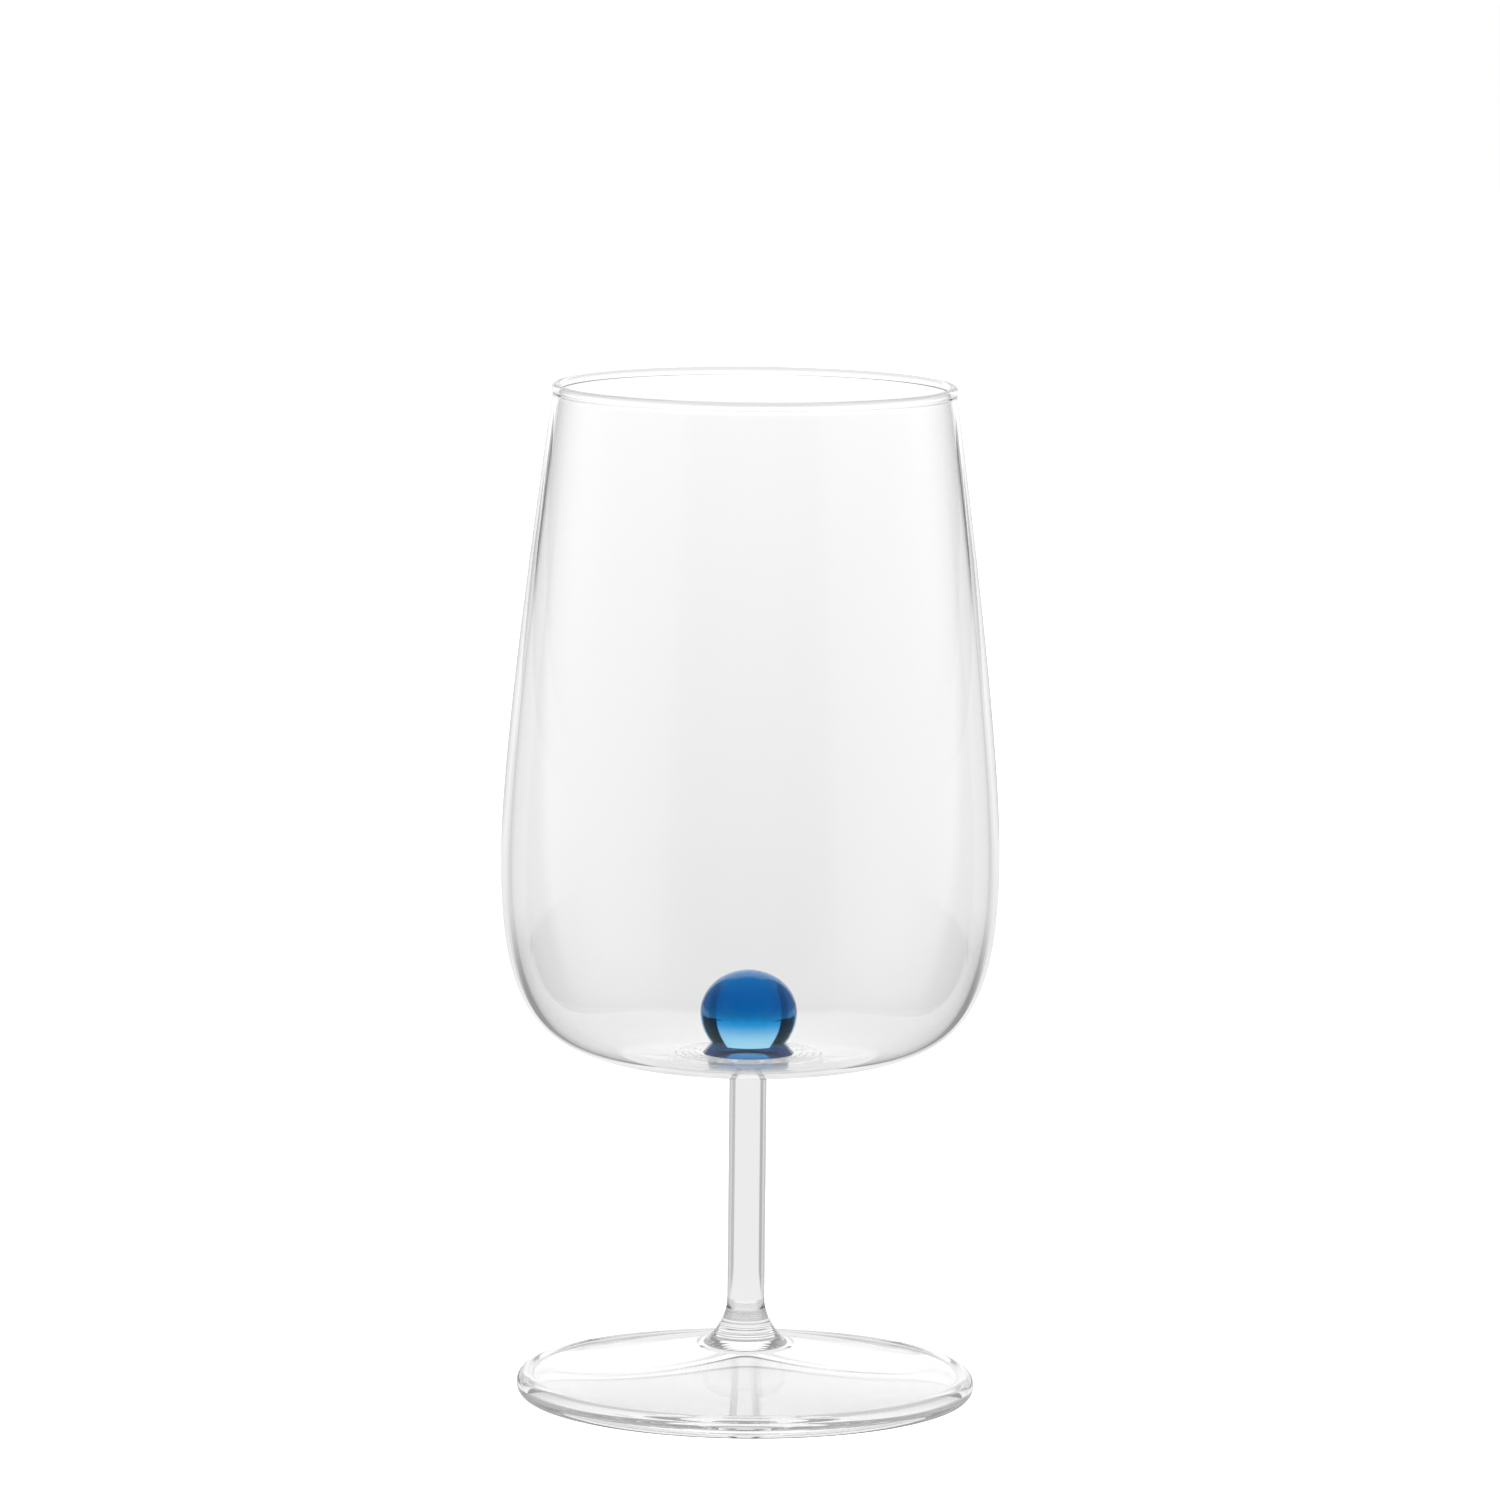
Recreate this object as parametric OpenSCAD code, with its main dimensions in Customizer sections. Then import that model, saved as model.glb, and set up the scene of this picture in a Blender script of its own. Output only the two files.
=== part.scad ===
// Stemmed water goblet, flame-worked from clear heat-resistant glass.
// The bowl is widest low down and narrows to a beaded rim. It stands on a solid rod of a stem,
// which spreads in a trumpet onto a shallow cone of a foot with a rounded edge.
// A ball of blue glass is fused to the middle of the bowl's floor.
// Both pieces are turned about Z. Z = 0 is the plane that the foot stands on.

/* [Bowl] */
// Height from the bowl's underside to the top of its rim
bowl_h = 114; // [95:0.5:135]
// Height of the widest point above the bowl's underside
belly_h = 34.7; // [30:0.1:42]
// Outside diameter at the widest point
belly_d = 83.2; // [76:0.2:92]
// Outside diameter of the wall just under the rim
rim_d = 67.1; // [60:0.1:74]
// Thickness of the wall just under the rim
wall = 1.1; // [0.8:0.05:1.4]
// Thickness of the wall at the widest point
belly_wall = 1.8; // [1.2:0.1:2.4]
// Thickness of the floor under the ball
floor_t = 1.9; // [1.6:0.1:3.2]
// Diameter of the fire-polished bead along the rim
rim_bead_d = 1.5; // [1.45:0.05:2.2]

/* [Stem] */
// Diameter of the solid rod
stem_d = 6.3; // [4.6:0.1:8.4]
// Length of the rod between the trumpet and the bowl's underside
stem_h = 40.3; // [25:0.1:70]
// Radius where the rod runs into the bowl's underside
stem_blend_r = 1.5; // [0.5:0.1:3]

/* [Foot] */
// Outside diameter of the foot
foot_d = 76.8; // [66:0.2:86]
// Height of the foot's top where the trumpet lands on it
foot_h = 9.5; // [8:0.1:12]
// Thickness of the foot between its edge and its middle
foot_t = 2.4; // [1.8:0.1:3]
// Width of the rounded edge
edge_w = 3.4; // [2.8:0.1:4.4]
// Height of the rounded edge
edge_h = 3.75; // [3.3:0.05:4.6]
// Width of the flat ring that the edge stands on
rest_w = 1.3; // [0.8:0.1:2]
// Height of the trumpet between the foot and the rod
trumpet_h = 6.2; // [4.5:0.1:12]
// Diameter of the trumpet where it lands on the foot
trumpet_d = 12.6; // [11.6:0.1:18]
// Diameter of the flat middle of the foot's underside
middle_d = 12; // [8:0.1:14]

/* [Ball] */
// Widest diameter of the ball
ball_d = 16.2; // [14.2:0.1:17.6]
// Height of the widest point above the bowl's floor
ball_rise = 7; // [6.4:0.05:8]
// Height of the flattened crown above the widest point
crown_h = 7; // [5.5:0.1:8.8]
// Diameter of the collar that the ball melted into the floor
collar_d = 15.3; // [14.8:0.1:18]
// Height of the collar
collar_h = 1.8; // [1:0.1:2.4]

/* [Tool marks] */
// Number of rings that the collar pushed up in the bowl's floor
ripple_n = 4; // [1:1:6]
// Distance from one floor ring to the next
ripple_pitch = 1.1; // [0.8:0.05:1.4]
// Height of a floor ring
ripple_h = 0.1; // [0.02:0.01:0.2]
// Number of paddle lines round the trumpet
line_n = 6; // [1:1:8]
// Depth of a paddle line
line_h = 0.1; // [0.02:0.01:0.14]

/* [Hidden] */
$fn = 96;

// Heights above the plane that the foot stands on
rod_z = foot_h + trumpet_h;
base_z = rod_z + stem_h;
floor_z = base_z + floor_t;
belly_z = base_z + belly_h;
top_z = base_z + bowl_h;

stem_r = stem_d / 2;
belly_r = belly_d / 2;
collar_r = collar_d / 2;
ball_r = ball_d / 2;

// The rim's bead sits on the middle of the wall, and the wall runs up into it
rim_bead_r = rim_bead_d / 2;
rim_mid_r = (rim_d - wall) / 2;
rim_mid_z = top_z - rim_bead_r;
bead_half_angle = asin(wall / rim_bead_d);
rim_z = rim_mid_z - rim_bead_r * cos(bead_half_angle);

// Shape of the bowl, as shares of the height or radius that each stretch spans
base_reach = 0.785; // how far the base runs out flat
base_lift = 0.891; // how far the side runs down straight to meet it
belly_lift = 0.247; // how far the side stays upright over the belly
rim_run = 0.185; // how far the side is straight under the rim
rim_slope = 0.13; // outward run for each unit of fall there

// The foot's edge is an ellipse, cut off flat at the bottom
edge_rx = edge_w / 2;
edge_cut = acos(rest_w / edge_w);
edge_rz = edge_h / (1 + sin(edge_cut));
edge_mid = [foot_d / 2 - edge_rx, edge_rz * sin(edge_cut)];
edge_top_angle = 125; // where the foot's top leaves the edge
edge_low_angle = 200; // where its underside leaves the edge

// The underside turns from its flat middle into the cone over this width and drop
turn_w = 0.9;
turn_drop = 0.6;

// How far the trumpet's curve is drawn in and up at each end, as shares of its spread and height
foot_pull = [0.45, 0.3];
rod_pull = [0.05, 0.65];
lines_top = 0.6; // share of the trumpet's height that has paddle lines

// The collar's curve is drawn in by these lengths at its base and at the neck, and up by these shares
collar_in = [0.5, 0.35];
collar_up = [0.3, 0.75];

// The flat seat under the ball, a little wider than the collar, and the rings round it
seat_gap = 0.4;
seat_r = collar_r + seat_gap;
ripple_r = seat_r + ripple_n * ripple_pitch;

blend_gap = 0.1; // flat left between the rod's blend and the bowl's curve
SAME = 0.001; // points closer than this are one
STEPS = 18; // points along a long curve
FEW = 8; // points along a short one
PER_WAVE = 4; // points along one floor ring
TRUMPET_STEPS = 48; // points up the trumpet

// Point t of the way along the cubic curve that leaves a towards b and reaches d from c
function curve_at(a, b, c, d, t) =
    let (s = 1 - t)
    s * s * s * a + 3 * s * s * t * b + 3 * s * t * t * c + t * t * t * d;

// Points along that curve
function curve(a, b, c, d, n) = [for (i = [0 : n]) curve_at(a, b, c, d, i / n)];

// Points along an ellipse round mid, from angle a0 to angle a1
function arc(mid, rx, rz, a0, a1, n) =
    [for (i = [0 : n]) let (a = a0 + (a1 - a0) * i / n) mid + [rx * cos(a), rz * sin(a)]];

function backwards(points) = [for (i = [len(points) - 1 : -1 : 0]) points[i]];

// The bowl's wall from its base to its belly, whose radius and height are r0 and z0 at the base
function lower_wall(r0, z0, r1) =
    curve([r0, z0], [base_reach * r1, z0], [r1, belly_z - base_lift * (belly_z - z0)], [r1, belly_z], STEPS);

// The wall from its belly to the rim, moved inwards by low_in at the belly and by rim_in at the rim
function upper_wall(low_in, rim_in) =
    let (rise = rim_z - belly_z, rim_r = rim_d / 2 - rim_in, low_r = belly_r - low_in)
    curve([low_r, belly_z], [low_r, belly_z + belly_lift * rise],
          [rim_r + rim_slope * rim_run * rise, rim_z - rim_run * rise], [rim_r, rim_z], STEPS);

// Rings that the collar pushed up in the floor, from the seat outwards
function floor_rings() =
    [for (i = [0 : ripple_n * PER_WAVE])
        [seat_r + ripple_pitch * i / PER_WAVE, floor_z + ripple_h / 2 * (1 - cos(360 * i / PER_WAVE))]];

// The foot's underside from its middle out to the edge: flat under the trumpet, then a cone
function underside() =
    let (flat_r = middle_d / 2, z = foot_h - foot_t)
    concat([[0, z]],
           curve([flat_r, z], [flat_r + turn_w / 2, z], [flat_r + turn_w, z - turn_drop / 2],
                 [flat_r + 1.5 * turn_w, z - turn_drop], FEW),
           arc(edge_mid, edge_rx, edge_rz, edge_low_angle, 180 + edge_cut, FEW));

// The trumpet from the foot up to the rod, with the paddle lines across its lower part
function trumpet() =
    let (out = trumpet_d / 2 - stem_r)
    [for (p = curve([stem_r + out, foot_h], [stem_r + foot_pull[0] * out, foot_h + foot_pull[1] * trumpet_h],
                    [stem_r + rod_pull[0] * out, foot_h + rod_pull[1] * trumpet_h], [stem_r, rod_z], TRUMPET_STEPS))
        let (share = (p[1] - foot_h) / trumpet_h / lines_top)
        p - [share < 1 ? line_h / 2 * (1 - cos(360 * line_n * share)) : 0, 0]];

// Half section of the clear glass, anticlockwise from the middle of the foot's underside
function glass_section() =
    concat(
        underside(),
        arc(edge_mid, edge_rx, edge_rz, -edge_cut, edge_top_angle, STEPS),
        trumpet(),
        arc([stem_r + stem_blend_r, base_z - stem_blend_r], stem_blend_r, stem_blend_r, 180, 90, FEW),
        lower_wall(stem_r + stem_blend_r + blend_gap, base_z, belly_r),
        upper_wall(0, 0),
        arc([rim_mid_r, rim_mid_z], rim_bead_r, rim_bead_r, bead_half_angle - 90, 270 - bead_half_angle, STEPS),
        backwards(upper_wall(belly_wall, wall)),
        backwards(lower_wall(ripple_r, floor_z, belly_r - belly_wall)),
        backwards(floor_rings()),
        [[0, floor_z]]
    );

// Half section of the ball: a flat base, a collar drawn in to a neck, a round lower half and a flatter crown
function ball_section() =
    let (mid = [0, floor_z + ball_rise], low = asin((ball_rise - collar_h) / ball_r), neck_r = ball_r * cos(low))
    concat(
        [[0, floor_z]],
        curve([collar_r, floor_z], [collar_r - collar_in[0], floor_z + collar_up[0] * collar_h],
              [neck_r + collar_in[1], floor_z + collar_up[1] * collar_h], [neck_r, floor_z + collar_h], FEW),
        arc(mid, ball_r, ball_r, -low, 0, STEPS),
        arc(mid, ball_r, crown_h, 0, 90, STEPS)
    );

// A section without the points that repeat the one before
function without_repeats(points) =
    [for (i = [0 : len(points) - 1]) if (i == 0 || norm(points[i] - points[i - 1]) > SAME) points[i]];

module clear_goblet() {
    color([0.86, 0.9, 0.9, 0.35])
        rotate_extrude()
            polygon(without_repeats(glass_section()));
}

module blue_ball() {
    color([0.01, 0.37, 0.65, 0.85])
        rotate_extrude()
            polygon(without_repeats(ball_section()));
}

clear_goblet();
blue_ball();
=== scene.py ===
# %% [markdown]
# A stemmed water goblet, worked by hand in the flame from clear borosilicate tube and rod. A ball of blue
# glass is melted onto the middle of its bowl. Everything on it is turned about one upright axis, so every
# surface here is a half section carried round that axis. The frame gives the two solids at their real size,
# and the smooth surfaces below stand where those solids stand.

# %% Load the frame
import math

import bpy
import numpy as np
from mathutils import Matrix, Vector


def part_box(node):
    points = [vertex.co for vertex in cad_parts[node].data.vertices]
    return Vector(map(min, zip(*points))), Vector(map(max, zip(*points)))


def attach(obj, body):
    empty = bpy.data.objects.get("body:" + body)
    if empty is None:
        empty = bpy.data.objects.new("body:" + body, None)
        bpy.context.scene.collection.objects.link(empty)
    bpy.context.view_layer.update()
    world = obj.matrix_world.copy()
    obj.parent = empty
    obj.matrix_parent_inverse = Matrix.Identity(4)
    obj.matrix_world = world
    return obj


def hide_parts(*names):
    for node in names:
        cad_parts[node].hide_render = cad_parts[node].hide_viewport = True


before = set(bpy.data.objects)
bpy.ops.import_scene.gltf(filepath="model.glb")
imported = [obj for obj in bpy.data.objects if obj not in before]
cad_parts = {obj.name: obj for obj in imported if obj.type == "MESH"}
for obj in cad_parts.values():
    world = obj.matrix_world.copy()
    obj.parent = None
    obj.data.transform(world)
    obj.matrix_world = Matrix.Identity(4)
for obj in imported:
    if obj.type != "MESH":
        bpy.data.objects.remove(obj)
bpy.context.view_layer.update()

MM = 0.001
print("frame holds", sorted(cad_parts))

# %% [markdown]
# Sizes. A glass worker thinks in tube diameters, wall and rod, so those are the driving dimensions, in
# millimetres. The overall height and the widest radius come from the frame, which keeps the surfaces on the
# solids that carry them.

# %% Driving dimensions
low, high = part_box("clear_goblet")
TOP_Z = high.z / MM
BELLY_R = (high.x - low.x) / 2 / MM
BOWL_H, BELLY_H = 114.0, 34.7
RIM_R, WALL, BELLY_WALL, FLOOR_T = 33.55, 1.1, 1.8, 1.9
RIM_BEAD_R = 0.75
ROD_R, ROD_H, ROD_BLEND_R = 3.15, 40.3, 1.5
FOOT_R, FOOT_H, FOOT_T = 38.4, 9.5, 2.4
EDGE_W, EDGE_H, REST_W = 3.4, 3.75, 1.3
TRUMPET_H, TRUMPET_R = 6.2, 6.3
BALL_R, BALL_RISE, CROWN_H = 8.1, 7.0, 7.0
COLLAR_R, COLLAR_H = 7.65, 1.8

BASE_Z = TOP_Z - BOWL_H
BELLY_Z = BASE_Z + BELLY_H
FLOOR_Z = BASE_Z + FLOOR_T
ROD_Z = BASE_Z - ROD_H
print(f"top {TOP_Z:.1f} mm, belly radius {BELLY_R:.2f} mm, bowl floor at {FLOOR_Z:.1f} mm")

# %% [markdown]
# Curves. Hot glass sags and is drawn out in smooth runs, so a section is a chain of cubic curves and round
# arcs. Each helper works out a whole run of points as one array.

# %% Section helpers
STEPS = 40
SAME = 1e-4


def cubic(a, b, c, d, n=STEPS):
    """n + 1 points of the cubic curve that leaves a towards b and reaches d from c.

    A point is (1-t)^3 a + 3 (1-t)^2 t b + 3 (1-t) t^2 c + t^3 d, with t running from 0 to 1.
    """
    t = np.linspace(0.0, 1.0, n + 1)[:, None]
    a, b, c, d = (np.array(p, float) for p in (a, b, c, d))
    return (1 - t) ** 3 * a + 3 * (1 - t) ** 2 * t * b + 3 * (1 - t) * t**2 * c + t**3 * d


def ellipse(mid, rx, rz, start, end, n=STEPS):
    """Points mid + (rx cos a, rz sin a), with a running from start to end in degrees."""
    a = np.radians(np.linspace(start, end, n + 1))
    return np.stack([mid[0] + rx * np.cos(a), mid[1] + rz * np.sin(a)], axis=1)


def chain(*runs):
    """The runs one after another, without the points that repeat the one before."""
    points = np.concatenate([np.atleast_2d(np.array(run, float)) for run in runs])
    step = np.linalg.norm(np.diff(points, axis=0), axis=1)
    return points[np.concatenate([[True], step > SAME])]


# %% [markdown]
# The clear glass. Its half section starts in the middle of the foot's underside, runs out and round the
# foot's edge, up the trumpet and rod, round the bowl and over the rim, and back down the inside to the floor.

# %% Half section of the clear glass
# Shares of the radius or height that each stretch of the bowl spans, and how far the rim's stretch
# spreads for each unit of fall
BASE_REACH, BASE_LIFT, BELLY_LIFT, RIM_RUN, RIM_SLOPE = 0.785, 0.891, 0.247, 0.185, 0.13
SEAT_GAP, BLEND_GAP = 0.4, 0.1
SEAT_R = COLLAR_R + SEAT_GAP
RING_COUNT, RING_PITCH, RING_HEIGHT, RING_STEPS = 4, 1.1, 0.1, 12
# How far the trumpet's curve is drawn in and up, as shares of its spread and height
FOOT_PULL, ROD_PULL, TRUMPET_STEPS = (0.45, 0.3), (0.05, 0.65), 96
LINE_COUNT, LINE_DEPTH, LINES_TOP = 6, 0.1, 0.6
MIDDLE_R, TURN_W, TURN_DROP = 6.0, 0.9, 0.6
# Angles in degrees where the underside and the top leave the foot's rounded edge
EDGE_LOW, EDGE_TOP = 200.0, 125.0
FEW, BEAD_STEPS = 16, 32


def lower_wall(r0, z0, r1):
    """From the base at (r0, z0) out and up to the belly, whose radius is r1."""
    lift = BELLY_Z - BASE_LIFT * (BELLY_Z - z0)
    return cubic((r0, z0), (BASE_REACH * r1, z0), (r1, lift), (r1, BELLY_Z))


def upper_wall(low_in, rim_in, end_z):
    """From the belly up to the rim, moved inwards by low_in at the belly and by rim_in at the rim."""
    rise, rim, belly = end_z - BELLY_Z, RIM_R - rim_in, BELLY_R - low_in
    lean = rim + RIM_SLOPE * RIM_RUN * rise
    return cubic((belly, BELLY_Z), (belly, BELLY_Z + BELLY_LIFT * rise),
                 (lean, end_z - RIM_RUN * rise), (rim, end_z))


def floor_rings():
    """Rings pushed up round the collar: height RING_HEIGHT / 2 (1 - cos) over each pitch."""
    turn = np.linspace(0.0, RING_COUNT, RING_STEPS * RING_COUNT + 1)
    z = FLOOR_Z + RING_HEIGHT / 2 * (1 - np.cos(2 * np.pi * turn))
    return np.stack([SEAT_R + RING_PITCH * turn, z], axis=1)


def trumpet():
    """The spread from the foot up to the rod, less LINE_DEPTH / 2 (1 - cos) at each of the paddle lines."""
    out = TRUMPET_R - ROD_R
    run = cubic((TRUMPET_R, FOOT_H), (ROD_R + FOOT_PULL[0] * out, FOOT_H + FOOT_PULL[1] * TRUMPET_H),
                (ROD_R + ROD_PULL[0] * out, FOOT_H + ROD_PULL[1] * TRUMPET_H), (ROD_R, ROD_Z), TRUMPET_STEPS)
    share = (run[:, 1] - FOOT_H) / TRUMPET_H / LINES_TOP
    wave = LINE_DEPTH / 2 * (1 - np.cos(2 * np.pi * LINE_COUNT * share))
    run[:, 0] -= np.where(share < 1, wave, 0.0)
    return run


def glass_section():
    """The whole half section, anticlockwise."""
    cut = math.degrees(math.acos(REST_W / EDGE_W))
    edge_rz = EDGE_H / (1 + math.sin(math.radians(cut)))
    edge = (FOOT_R - EDGE_W / 2, edge_rz * math.sin(math.radians(cut)))
    under_z = FOOT_H - FOOT_T
    low_angle = math.degrees(math.asin(WALL / 2 / RIM_BEAD_R))
    rim_mid = (RIM_R - WALL / 2, TOP_Z - RIM_BEAD_R)
    rim_z = rim_mid[1] - RIM_BEAD_R * math.cos(math.radians(low_angle))
    return chain(
        (0, under_z),
        cubic((MIDDLE_R, under_z), (MIDDLE_R + TURN_W / 2, under_z),
              (MIDDLE_R + TURN_W, under_z - TURN_DROP / 2),
              (MIDDLE_R + 1.5 * TURN_W, under_z - TURN_DROP), FEW),
        ellipse(edge, EDGE_W / 2, edge_rz, EDGE_LOW, 180 + cut, FEW),
        ellipse(edge, EDGE_W / 2, edge_rz, -cut, EDGE_TOP),
        trumpet(),
        ellipse((ROD_R + ROD_BLEND_R, BASE_Z - ROD_BLEND_R), ROD_BLEND_R, ROD_BLEND_R, 180, 90, FEW),
        lower_wall(ROD_R + ROD_BLEND_R + BLEND_GAP, BASE_Z, BELLY_R),
        upper_wall(0, 0, rim_z),
        ellipse(rim_mid, RIM_BEAD_R, RIM_BEAD_R, low_angle - 90, 270 - low_angle, BEAD_STEPS),
        upper_wall(BELLY_WALL, WALL, rim_z)[::-1],
        lower_wall(SEAT_R + RING_COUNT * RING_PITCH, FLOOR_Z, BELLY_R - BELLY_WALL)[::-1],
        floor_rings()[::-1],
        (COLLAR_R, FLOOR_Z),
        (0, FLOOR_Z),
    )


print("clear glass section has", len(glass_section()), "points")

# %% [markdown]
# The ball. A gather of blue glass was set down hot, so its foot spread into a collar, its lower half stayed
# round and its crown sank a little flatter than a sphere.

# %% Half section of the ball
SKIN_GAP = 0.02
# How far the collar's curve is drawn in, in millimetres, and up, in shares of its height
COLLAR_IN, COLLAR_UP = (0.5, 0.35), (0.3, 0.75)


def ball_section():
    """Flat base, collar drawn in to a neck, round lower half, flatter crown.

    The base stands SKIN_GAP over the bowl's floor, so that the two glasses share no face.
    """
    mid = (0.0, FLOOR_Z + BALL_RISE)
    neck_angle = math.degrees(math.asin((BALL_RISE - COLLAR_H) / BALL_R))
    neck_r = BALL_R * math.cos(math.radians(neck_angle))
    return chain(
        (0, FLOOR_Z + SKIN_GAP),
        (COLLAR_R, FLOOR_Z + SKIN_GAP),
        cubic((COLLAR_R, FLOOR_Z), (COLLAR_R - COLLAR_IN[0], FLOOR_Z + COLLAR_UP[0] * COLLAR_H),
              (neck_r + COLLAR_IN[1], FLOOR_Z + COLLAR_UP[1] * COLLAR_H), (neck_r, FLOOR_Z + COLLAR_H), FEW),
        ellipse(mid, BALL_R, BALL_R, -neck_angle, 0),
        ellipse(mid, BALL_R, CROWN_H, 0, 90),
    )


print("ball section has", len(ball_section()), "points")

# %% [markdown]
# Turning a section. One vertex stands on the axis at each end, and every other point becomes a ring. Quads
# join the rings and triangles close the two ends, so the surface has no seam and no hole.

# %% Carry a section round the axis
SEGMENTS = 192
CREASE = math.radians(32)


def turned(name, section):
    """A closed mesh object: point (i, j) is (r_i cos u_j, r_i sin u_j, z_i), with u_j = 2 pi j / SEGMENTS."""
    ring = section[1:-1] * MM
    u = np.linspace(0.0, 2 * np.pi, SEGMENTS, endpoint=False)
    grid = np.empty((len(ring), SEGMENTS, 3))
    grid[..., 0] = ring[:, :1] * np.cos(u)
    grid[..., 1] = ring[:, :1] * np.sin(u)
    grid[..., 2] = ring[:, 1:]
    ends = np.zeros((2, 3))
    ends[:, 2] = section[[0, -1], 1] * MM
    points = np.concatenate([grid.reshape(-1, 3), ends])
    at = np.arange(len(ring) * SEGMENTS).reshape(len(ring), SEGMENTS)
    after = np.roll(at, -1, axis=1)
    quads = np.stack([at[:-1], after[:-1], after[1:], at[1:]], axis=-1).reshape(-1, 4)
    first, last = len(points) - 2, len(points) - 1
    start = np.stack([np.full(SEGMENTS, first), after[0], at[0]], axis=1)
    end = np.stack([np.full(SEGMENTS, last), at[-1], after[-1]], axis=1)
    mesh = bpy.data.meshes.new(name)
    mesh.from_pydata(points, [], [*quads.tolist(), *start.tolist(), *end.tolist()])
    mesh.shade_smooth()
    mesh.set_sharp_from_angle(angle=CREASE)
    mesh.update()
    piece = bpy.data.objects.new(name, mesh)
    bpy.context.scene.collection.objects.link(piece)
    print(name, "has", len(mesh.vertices), "vertices and", len(mesh.polygons), "faces")
    return piece


# %% Make the two pieces
goblet = turned("goblet_glass", glass_section())
ball = turned("ball_of_blue_glass", ball_section())

# %% [markdown]
# Materials. A colour is written as a hex value, the way it looks on a screen, and turned into the linear
# light that the renderer works with. One small function adds a node with its settings and inputs.

# %% Colours and nodes
def linear(code):
    """Linear red, green, blue and 1 from a hex colour: ((c + 0.055) / 1.055)^2.4, or c / 12.92 where dark."""
    c = np.array([int(code[i:i + 2], 16) for i in (1, 3, 5)]) / 255
    lin = np.where(c > 0.04045, ((c + 0.055) / 1.055) ** 2.4, c / 12.92)
    return (*lin.tolist(), 1.0)


def add(tree, kind, *first, inputs=None, **settings):
    """A new node with its settings. Its first inputs come in order, and others by name or number.

    An input is a number, a colour or another node's output.
    """
    node = tree.nodes.new(kind)
    for key, value in settings.items():
        setattr(node, key, value)
    for key, value in (*enumerate(first), *(inputs or {}).items()):
        if isinstance(value, bpy.types.NodeSocket):
            tree.links.new(value, node.inputs[key])
        else:
            node.inputs[key].default_value = value
    return node


def new_material(name):
    """An empty material and its tree."""
    material = bpy.data.materials.new(name)
    material.use_nodes = True
    material.node_tree.nodes.clear()
    return material, material.node_tree


WHITE = linear("#FFFFFF")
print("white is", WHITE)

# %% [markdown]
# Clear borosilicate, fire-polished. Its index is 1.473, and it has no tint that shows in a wall of one
# millimetre. The flame leaves it perfectly smooth, so its roughness is nought. Lamps pass it, so that its
# shadow is as pale as the shadow of thin glass.

# %% Clear glass
GLASS_INDEX = 1.473
PALE_SHADE = linear("#F4F7F7")


def clear_glass():
    """Smooth dielectric that lets shadow rays through."""
    material, tree = new_material("clear_borosilicate_glass")
    glass = add(tree, "ShaderNodeBsdfPrincipled", inputs={
        "Base Color": WHITE, "Roughness": 0.0, "IOR": GLASS_INDEX, "Transmission Weight": 1.0})
    shade = add(tree, "ShaderNodeBsdfTransparent", PALE_SHADE)
    path = add(tree, "ShaderNodeLightPath").outputs["Is Shadow Ray"]
    both = add(tree, "ShaderNodeMixShader", path, glass.outputs[0], shade.outputs[0])
    add(tree, "ShaderNodeOutputMaterial", inputs={"Surface": both.outputs[0]})
    return material


print("clear glass bends light by an index of", GLASS_INDEX)

# %% [markdown]
# Blue glass. It is coloured all through by cobalt and copper, so its colour is set by how far light runs in
# it: the foot of the ball looks pale and its middle deep. Absorption inside the ball gives part of that. A
# tint by height on its skin gives the rest, and that tint is painted light and shade: painted light makes the
# foot pale, a painted highlight makes the crown lighter, and painted shade makes the collar darker. Its
# base stands a fiftieth of a millimetre over the clear floor, so that no two faces share a place.

# %% Blue glass
DYE_DENSITY = 62.0
DYE_LEFT = linear("#10D9F0")
# The collar's blue is painted shade; the pale and middle blues are painted light, and the crown's is a
# painted highlight
COLLAR_SHADE_BLUE, LIT_PALE_BLUE = linear("#4B7CAE"), linear("#F1F9FF")
LIT_MIDDLE_BLUE, DEEP_BLUE, CROWN_HIGHLIGHT_BLUE = linear("#169ADD"), linear("#01509E"), linear("#0A7CBF")
# Each tint of painted light after the collar's painted shade, with the heights over the floor in millimetres
# between which it takes over
PAINTED_LIGHT_TINTS = ((LIT_PALE_BLUE, 1.0, 2.0), (LIT_MIDDLE_BLUE, 2.9, 6.2), (DEEP_BLUE, 5.0, 9.0), (CROWN_HIGHLIGHT_BLUE, 10.5, 14.0))


def blue_glass():
    """Smooth dielectric: painted highlight at the crown, deep blue below, painted light low down, painted
    shade at the collar.
    """
    material, tree = new_material("blue_cobalt_glass")
    place = add(tree, "ShaderNodeTexCoord").outputs["Object"]
    height = add(tree, "ShaderNodeSeparateXYZ", place).outputs["Z"]
    # Painted light and shade: the skin's tint by height, from the collar's painted shade to the crown's
    # painted highlight
    tint = COLLAR_SHADE_BLUE
    for colour, start, end in PAINTED_LIGHT_TINTS:
        share = add(tree, "ShaderNodeMapRange", height, (FLOOR_Z + start) * MM, (FLOOR_Z + end) * MM,
                    interpolation_type="SMOOTHSTEP").outputs[0]
        tint = add(tree, "ShaderNodeMix", share, inputs={6: tint, 7: colour}, data_type="RGBA").outputs[2]
    glass = add(tree, "ShaderNodeBsdfPrincipled", inputs={
        "Base Color": tint, "Roughness": 0.0, "IOR": GLASS_INDEX, "Transmission Weight": 1.0})
    dye = add(tree, "ShaderNodeVolumeAbsorption", inputs={"Color": DYE_LEFT, "Density": DYE_DENSITY})
    add(tree, "ShaderNodeOutputMaterial", inputs={"Surface": glass.outputs[0], "Volume": dye.outputs[0]})
    return material


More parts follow.
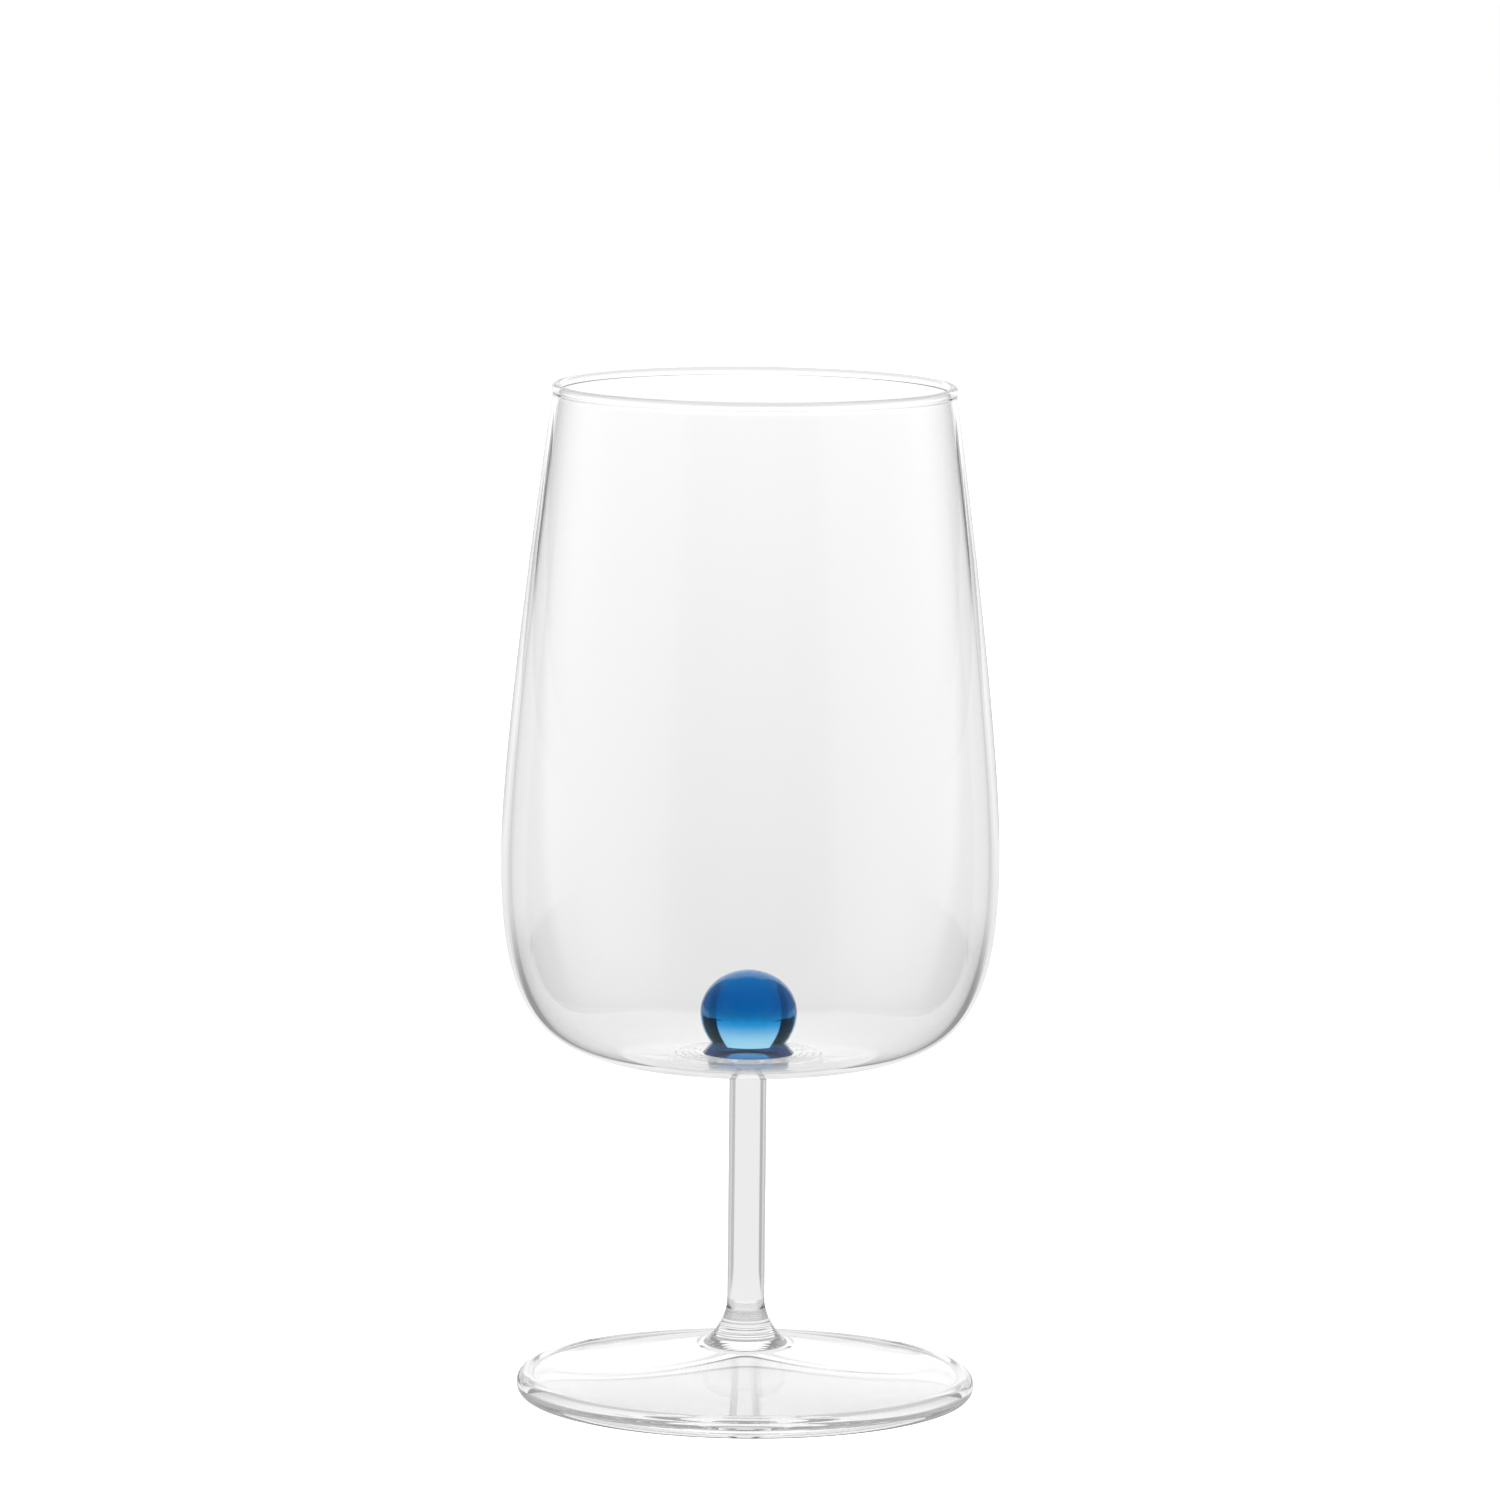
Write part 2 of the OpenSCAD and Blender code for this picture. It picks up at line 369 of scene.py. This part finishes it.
# %% Give the pieces their glass
goblet.data.materials.append(clear_glass())
ball.data.materials.append(blue_glass())
for piece, node, slot in ((goblet, "clear_goblet", "clear_glass"), (ball, "blue_ball", "blue_glass")):
    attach(piece, "root")
    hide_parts(node)
    print(piece.name, "is made of", piece.data.materials[0].name)

# %% [markdown]
# The studio. Clear glass shows nothing but its surroundings, so they are built with care. Light that has
# only passed through the glass finds a lit panel behind the goblet, and the same seen from its back, with
# paler panels at its sides and grey gaps between them. Light that the glass has mirrored finds that panel,
# grey sides and a dark room on the camera's side. Light that is led along inside the foot's rim leaves it
# far off, after many turns, and finds bright and grey stretches by how far it came. The camera sees only
# white.

# %% Eased steps and blends
def eased(tree, value, lo, hi, a, b):
    """a + (b - a) (3 t^2 - 2 t^3), where t goes from 0 to 1 as value goes from lo to hi."""
    return add(tree, "ShaderNodeMapRange", value, lo, hi, a, b, interpolation_type="SMOOTHSTEP").outputs[0]


def blend(tree, share, a, b):
    """(1 - share) a + share b."""
    rest = add(tree, "ShaderNodeMath", 1.0, share, operation="SUBTRACT").outputs[0]
    kept = add(tree, "ShaderNodeMath", rest, a, operation="MULTIPLY").outputs[0]
    return add(tree, "ShaderNodeMath", share, b, kept, operation="MULTIPLY_ADD").outputs[0]


# %% What each direction shows
# Angles are in degrees from straight behind the goblet, and levels are shares of white
PANEL_HALF, PANEL_EDGE = 28.5, 2.0
GAP_FROM, GAP_TO = 29.0, 37.0
MIRROR_SIDE, MIRROR_DIM, DIM_FROM, DIM_TO = 0.72, 0.16, 50.0, 100.0
DARK, DARK_FROM, DARK_EDGE = 0.02, 138.0, 4.0
# What is left after a second mirroring, and what light led along inside the foot finds at the end
TWICE, LED_SHORT, LED_FAR, LED_LONG = 0.84, 0.42, 1.05, 0.66
LED_TURNS, FAR_TURNS, LONG_TURNS = 4.5, 8.5, 15.5


def around(tree, x, y):
    """The angle in degrees between straight behind and the direction (x, y), from 0 to 180."""
    turn = add(tree, "ShaderNodeMath", x, y, operation="ARCTAN2").outputs[0]
    size = add(tree, "ShaderNodeMath", turn, operation="ABSOLUTE").outputs[0]
    return add(tree, "ShaderNodeMath", size, operation="DEGREES").outputs[0]


def mirrored_room(tree, away, inside, panel, side, gap):
    """The panel where inside is 1, then a dark gap, pale sides, a dim stretch and a dark room in front."""
    dim = add(tree, "ShaderNodeMath", side, MIRROR_DIM, operation="MINIMUM").outputs[0]
    fall = eased(tree, away, DIM_FROM, DIM_TO, side, dim)
    beside = eased(tree, away, GAP_FROM, GAP_TO, gap, 1.0)
    room = add(tree, "ShaderNodeMath", fall, beside, operation="MULTIPLY").outputs[0]
    front = eased(tree, away, DARK_FROM, DARK_FROM + DARK_EDGE, 0.0, 1.0)
    return blend(tree, inside, blend(tree, front, room, DARK), panel)


def by_path(tree, passed, mirrored):
    """What light finds that has only passed glass, was mirrored once or twice, or was led along inside it.

    The times it was mirrored tell these apart. Past LED_TURNS, it was led along inside the foot.
    """
    times = add(tree, "ShaderNodeLightPath").outputs["Glossy Depth"]

    def past(limit, below, above):
        over = add(tree, "ShaderNodeMath", times, limit, operation="GREATER_THAN").outputs[0]
        return blend(tree, over, below, above)

    once = past(0.5, passed, mirrored)
    twice = past(1.5, once, add(tree, "ShaderNodeMath", once, TWICE, operation="MULTIPLY").outputs[0])
    led = past(FAR_TURNS, LED_SHORT, past(LONG_TURNS, LED_FAR, LED_LONG))
    return past(LED_TURNS, twice, led)


print(f"the panel is {2 * PANEL_HALF:.0f} degrees wide, and the room in front is {DARK} of white")

# %% World
# The panel narrows up to PANEL_RISE degrees over the horizon, and the ceiling takes over further up
PANEL_GLOW, PANEL_TOP_HALF, PANEL_RISE = 1.2, 24.0, 30.0
CEILING, CEILING_FROM, CEILING_TO = 0.16, 45.0, 60.0
SKY_GAP, SKY_SIDE, SIDE_EDGE, MIRRORED_SKY = 0.06, 60.0, 6.0, 0.32


def make_world():
    """White for the camera. Other rays see lit panels with dark gaps between them, and a grey ceiling."""
    world = bpy.data.worlds.new("studio")
    world.use_nodes = True
    bpy.context.scene.world = world
    tree = world.node_tree
    tree.nodes.clear()
    way = add(tree, "ShaderNodeTexCoord").outputs["Generated"]
    x, y, z = add(tree, "ShaderNodeSeparateXYZ", way).outputs
    slope = add(tree, "ShaderNodeMath", z, operation="ARCSINE").outputs[0]
    height = add(tree, "ShaderNodeMath", slope, operation="DEGREES").outputs[0]
    half = eased(tree, height, 0.0, PANEL_RISE, PANEL_HALF, PANEL_TOP_HALF)
    edge = add(tree, "ShaderNodeMath", half, PANEL_EDGE, operation="ADD").outputs[0]
    away = around(tree, x, y)
    top = eased(tree, height, CEILING_FROM, CEILING_TO, 0.0, 1.0)
    passed = eased(tree, away, half, edge, PANEL_GLOW, SKY_GAP)
    passed = eased(tree, away, SKY_SIDE, SKY_SIDE + SIDE_EDGE, passed, PANEL_GLOW)
    inside = eased(tree, away, half, edge, 1.0, 0.0)
    mirrored = mirrored_room(tree, away, inside, PANEL_GLOW, MIRRORED_SKY, 1.0)
    strength = by_path(tree, blend(tree, top, passed, CEILING), blend(tree, top, mirrored, CEILING))
    room = add(tree, "ShaderNodeBackground", WHITE, strength)
    white = add(tree, "ShaderNodeBackground", WHITE, 1.0)
    path = add(tree, "ShaderNodeLightPath").outputs["Is Camera Ray"]
    both = add(tree, "ShaderNodeMixShader", path, room.outputs[0], white.outputs[0])
    add(tree, "ShaderNodeOutputWorld", both.outputs[0])
    print(world.name, "has", len(tree.nodes), "nodes")


make_world()

# %% [markdown]
# The floor. It is a pale table top. To the glass it glows with a painted reflection of the same panels and
# grey gaps as the room does, a little brighter with distance, and close by it is pale behind the goblet with
# painted light and greyer in front of it with painted shade. The camera sees it white, with a faint shadow.

# %% What the table shows close by
# Distances here are in metres from the goblet's axis, and those that end in Y lie along Y
# Painted light behind the goblet and painted shade in front of it, close by on the table and the stand
NEAR_PAINTED_GLOW, NEAR_PAINTED_DIM, NEAR_HALF_Y = 0.95, 0.62, 0.02
NEAR_REACH, NEAR_END = 0.09, 0.13
FRONT_Y, MIRROR_FRONT = -0.04, 0.03


def near_painted_shade(tree, y):
    """Painted light behind the goblet's axis and painted shade in front of it, so paler behind than in front.
    """
    return eased(tree, y, -NEAR_HALF_Y, NEAR_HALF_Y, NEAR_PAINTED_DIM, NEAR_PAINTED_GLOW)


print(f"close by the table shows {NEAR_PAINTED_DIM} of white in front of the goblet and {NEAR_PAINTED_GLOW} behind it")

# %% What the lit panel shows in the table
# The lit panel's reflection in the table is painted, as glow
# Its level close by, its rise with distance, and where it narrows far off
PANEL_NEAR, PANEL_LEVEL, PANEL_CLIMB = 0.9, 1.02, 0.343
FAR_FROM, FAR_TO, FAR_HALF = 1.55, 2.15, 21.0
# It is a little brighter beside its middle than in it, and a little dimmer further out
BAND_FROM, BAND_TO = 0.3, 0.5
PANEL_GAIN, GAIN_FROM, GAIN_TO = 1.08, 1.0, 6.0
PANEL_DROP, DROP_FROM, DROP_TO = 0.9, 8.0, 10.0


def painted_panel_in_table(tree, away, reach):
    """Painted reflection of the panel: PANEL_LEVEL + PANEL_CLIMB log10(reach), at least PANEL_NEAR, times its
    gain and its drop.
    """
    order = add(tree, "ShaderNodeMath", reach, 10.0, operation="LOGARITHM").outputs[0]
    climb = add(tree, "ShaderNodeMath", order, PANEL_CLIMB, PANEL_LEVEL, operation="MULTIPLY_ADD").outputs[0]
    panel = add(tree, "ShaderNodeMath", climb, PANEL_NEAR, operation="MAXIMUM").outputs[0]
    for change, start, end in ((PANEL_GAIN, GAIN_FROM, GAIN_TO), (PANEL_DROP, DROP_FROM, DROP_TO)):
        share = eased(tree, away, start, end, 1.0, eased(tree, reach, BAND_FROM, BAND_TO, 1.0, change))
        panel = add(tree, "ShaderNodeMath", panel, share, operation="MULTIPLY").outputs[0]
    return panel


print(f"the panel's reflection narrows to {2 * FAR_HALF:.0f} degrees beyond {FAR_TO} m")

# %% What the whole table shows
# The grey gaps and the paler panels at the sides, painted into the table's glow
GREY_RIGHT, GREY_LEFT, GREY_HALF_X = 0.56, 0.49, 0.05
GREY_FAR, GREY_FALL, GREY_END = 0.1, 1.42, 1.75
SIDE_PANEL, SIDE_FAR, SIDE_FROM, SIDE_NEAR, SIDE_FULL = 0.75, 0.86, 37.0, 0.4, 0.5
STRIP_HALF, STRIP_EDGE = 0.042, 0.006
# What mirrored light finds
TABLE_GAP, GAP_NEAR, GAP_FAR = 0.85, 1.5, 1.85
MIRROR_NEAR, MIRROR_FROM, MIRROR_TO = 0.28, 0.2, 0.5


def passed_by_table(tree, x, fold, reach, outside, panel):
    """The panel's painted reflection, and where outside is 1, off the strip along Y, painted greys with paler
    panels at the sides.
    """
    paler = eased(tree, reach, SIDE_NEAR, SIDE_FULL, SIDE_PANEL, SIDE_FAR)
    side = eased(tree, fold, SIDE_FROM, SIDE_FROM + SIDE_EDGE, 0.0, paler)
    grey = eased(tree, x, -GREY_HALF_X, GREY_HALF_X, GREY_LEFT, GREY_RIGHT)
    grey = eased(tree, reach, GREY_FALL, GREY_END, grey, GREY_FAR)
    grey = add(tree, "ShaderNodeMath", grey, side, operation="MAXIMUM").outputs[0]
    width = add(tree, "ShaderNodeMath", x, operation="ABSOLUTE").outputs[0]
    aside = eased(tree, width, STRIP_HALF, STRIP_HALF + STRIP_EDGE, 0.0, 1.0)
    both = add(tree, "ShaderNodeMath", outside, aside, operation="MULTIPLY").outputs[0]
    return blend(tree, both, panel, grey)


def painted_table_glow(tree, x, y):
    """Painted light, shade and reflection that the table shows the glass at (x, y), at distance root of x^2 +
    y^2.
    """
    square = add(tree, "ShaderNodeMath", x, x, operation="MULTIPLY").outputs[0]
    square = add(tree, "ShaderNodeMath", y, y, square, operation="MULTIPLY_ADD").outputs[0]
    reach = add(tree, "ShaderNodeMath", square, operation="SQRT").outputs[0]
    away = around(tree, x, y)
    fold = add(tree, "ShaderNodeMath", away, 90.0, operation="PINGPONG").outputs[0]
    half = eased(tree, reach, FAR_FROM, FAR_TO, PANEL_HALF, FAR_HALF)
    edge = add(tree, "ShaderNodeMath", half, PANEL_EDGE, operation="ADD").outputs[0]
    panel = painted_panel_in_table(tree, away, reach)
    passed = passed_by_table(tree, x, fold, reach, eased(tree, fold, half, edge, 0.0, 1.0), panel)
    side = eased(tree, reach, MIRROR_FROM, MIRROR_TO, MIRROR_NEAR, MIRROR_SIDE)
    gap = eased(tree, reach, GAP_NEAR, GAP_FAR, TABLE_GAP, 0.0)
    inside = eased(tree, away, half, edge, 1.0, 0.0)
    mirrored = mirrored_room(tree, away, inside, panel, side, gap)
    # Close in front of the goblet: painted shade for light that passed and a painted dark reflection for
    # mirrored light
    before = eased(tree, y, FRONT_Y, 0.0, 1.0, 0.0)
    near = eased(tree, reach, NEAR_REACH, NEAR_END, 1.0, 0.0)
    front = add(tree, "ShaderNodeMath", before, near, operation="MULTIPLY").outputs[0]
    passed = blend(tree, front, passed, near_painted_shade(tree, y))
    return by_path(tree, passed, blend(tree, front, mirrored, MIRROR_FRONT))


print(f"the table's grey gaps are {GREY_LEFT} of white at the left and {GREY_RIGHT} at the right")

# %% A flat round sheet
SHEET_POINTS = 96
SHEET_WHITE, SHEET_GLOW = linear("#F2F2F0"), 0.9


def round_sheet(name, radius, drop, material):
    """A disc: point j is (radius cos u_j, radius sin u_j, -drop), with u_j = 2 pi j / SHEET_POINTS."""
    u = np.linspace(0.0, 2 * np.pi, SHEET_POINTS, endpoint=False)
    points = np.stack([radius * np.cos(u), radius * np.sin(u), np.full(SHEET_POINTS, -drop)], axis=1)
    mesh = bpy.data.meshes.new(name)
    mesh.from_pydata(points, [], [list(range(SHEET_POINTS))])
    mesh.update()
    mesh.materials.append(material)
    sheet = bpy.data.objects.new(name, mesh)
    bpy.context.scene.collection.objects.link(sheet)
    print(name, "is", 2 * radius, "m across")
    return sheet


def white_to_camera(tree, shown):
    """White that takes the goblet's shadow for the camera, and what is shown for every other ray."""
    plain = add(tree, "ShaderNodeBsdfDiffuse", SHEET_WHITE)
    white = add(tree, "ShaderNodeEmission", WHITE, SHEET_GLOW)
    lit = add(tree, "ShaderNodeAddShader", plain.outputs[0], white.outputs[0])
    path = add(tree, "ShaderNodeLightPath").outputs["Is Camera Ray"]
    both = add(tree, "ShaderNodeMixShader", path, shown.outputs[0], lit.outputs[0])
    add(tree, "ShaderNodeOutputMaterial", inputs={"Surface": both.outputs[0]})


# %% Floor
FLOOR_RADIUS, FLOOR_DROP = 3.0, 0.02


def table_laminate():
    """Matt white laminate, which glows to the glass with a painted reflection of the panels and gaps."""
    material, tree = new_material("pale_table_laminate")
    place = add(tree, "ShaderNodeTexCoord").outputs["Object"]
    x, y, _ = add(tree, "ShaderNodeSeparateXYZ", place).outputs
    # The table's glow to the glass is painted reflection of the room and painted shade close in front
    shown = add(tree, "ShaderNodeEmission", WHITE, painted_table_glow(tree, x, y))
    white_to_camera(tree, shown)
    return material


top = round_sheet("table_top", FLOOR_RADIUS, FLOOR_DROP * MM, table_laminate())

# %% [markdown]
# The stand. A small disc of polished white acrylic lies under the foot. It mirrors the stem, and the foot
# shows that mirror image from above. Where it doesn't mirror, it glows with painted light behind the goblet
# and painted shade in front of it.

# %% Stand
STAND_RADIUS, STAND_DROP = 0.055, 0.01
STAND_INDEX, STAND_MIRRORED = 1.49, 0.75
POLISH, POLISH_GREY = 1.6, linear("#E7E7E7")


def polished_acrylic():
    """White acrylic whose mirroring follows Fresnel's law, POLISH times over; the rest glows as painted light
    and shade.
    """
    material, tree = new_material("polished_white_acrylic")
    fresnel = add(tree, "ShaderNodeFresnel", STAND_INDEX).outputs[0]
    share = add(tree, "ShaderNodeMath", fresnel, POLISH, operation="MULTIPLY", use_clamp=True)
    place = add(tree, "ShaderNodeTexCoord").outputs["Object"]
    # Painted light behind the goblet and painted shade in front of it, shown as glow where the acrylic
    # doesn't mirror
    near = near_painted_shade(tree, add(tree, "ShaderNodeSeparateXYZ", place).outputs["Y"])
    mirrored = add(tree, "ShaderNodeMath", near, STAND_MIRRORED, operation="MULTIPLY").outputs[0]
    glow = add(tree, "ShaderNodeEmission", WHITE, by_path(tree, near, mirrored))
    shine = add(tree, "ShaderNodeBsdfAnisotropic", inputs={"Color": POLISH_GREY, "Roughness": 0.0})
    shown = add(tree, "ShaderNodeMixShader", share.outputs[0], glow.outputs[0], shine.outputs[0])
    white_to_camera(tree, shown)
    return material


stand = round_sheet("acrylic_stand", STAND_RADIUS, STAND_DROP * MM, polished_acrylic())

# %% [markdown]
# The camera. The photograph was taken with a long lens, a little above the rim, and the picture leans by
# less than one degree.

# %% Camera
DISTANCE, HEIGHT, AIM_Z = 1461.8, 302.8, 108.9
FOCAL_PIXELS, PICTURE_PIXELS, SENSOR = 8860.0, 1500.0, 36.0
LEAN, ASIDE = 0.58, 0.23
NEAREST = 0.05


def make_camera():
    """Looks along +Y at AIM_Z, ASIDE to the left of the axis, turned by LEAN about its own line of sight."""
    lens = bpy.data.cameras.new("camera")
    lens.sensor_width = SENSOR
    lens.lens = FOCAL_PIXELS / PICTURE_PIXELS * SENSOR
    lens.clip_start = NEAREST
    camera = bpy.data.objects.new("camera", lens)
    bpy.context.scene.collection.objects.link(camera)
    camera.location = (-ASIDE * MM, -DISTANCE * MM, HEIGHT * MM)
    look = Vector((-ASIDE * MM, 0, AIM_Z * MM)) - camera.location
    camera.rotation_euler = look.to_track_quat("-Z", "Y").to_euler()
    camera.rotation_euler.rotate_axis("Z", math.radians(LEAN))
    bpy.context.scene.camera = camera
    return camera


camera = make_camera()
print(f"lens {camera.data.lens:.0f} mm")

# %% [markdown]
# Light. One soft lamp hangs over the table. Standard colour keeps every tone as it is written.

# %% Lamp and colour
LAMP_SIZE, LAMP_POWER, LAMP_AT = 0.6, 1.5, (0.1, -0.1, 1.2)
# How often a ray may be mirrored inside the glass, and how often it may pass a surface
MIRRORINGS, PASSAGES = 96, 32


def make_lamp():
    """A square soft lamp over the goblet, facing down."""
    data = bpy.data.lights.new("overhead", "AREA")
    data.shape = "SQUARE"
    data.size = LAMP_SIZE
    data.energy = LAMP_POWER
    lamp = bpy.data.objects.new("overhead", data)
    bpy.context.scene.collection.objects.link(lamp)
    lamp.location = LAMP_AT
    lamp.visible_glossy = lamp.visible_transmission = False


make_lamp()
bpy.context.scene.view_settings.view_transform = "Standard"
rays = bpy.context.scene.cycles
rays.max_bounces = rays.glossy_bounces = MIRRORINGS
rays.transmission_bounces = rays.transparent_max_bounces = PASSAGES
print(f"one lamp of {LAMP_POWER} W, and rays are mirrored up to {MIRRORINGS} times")
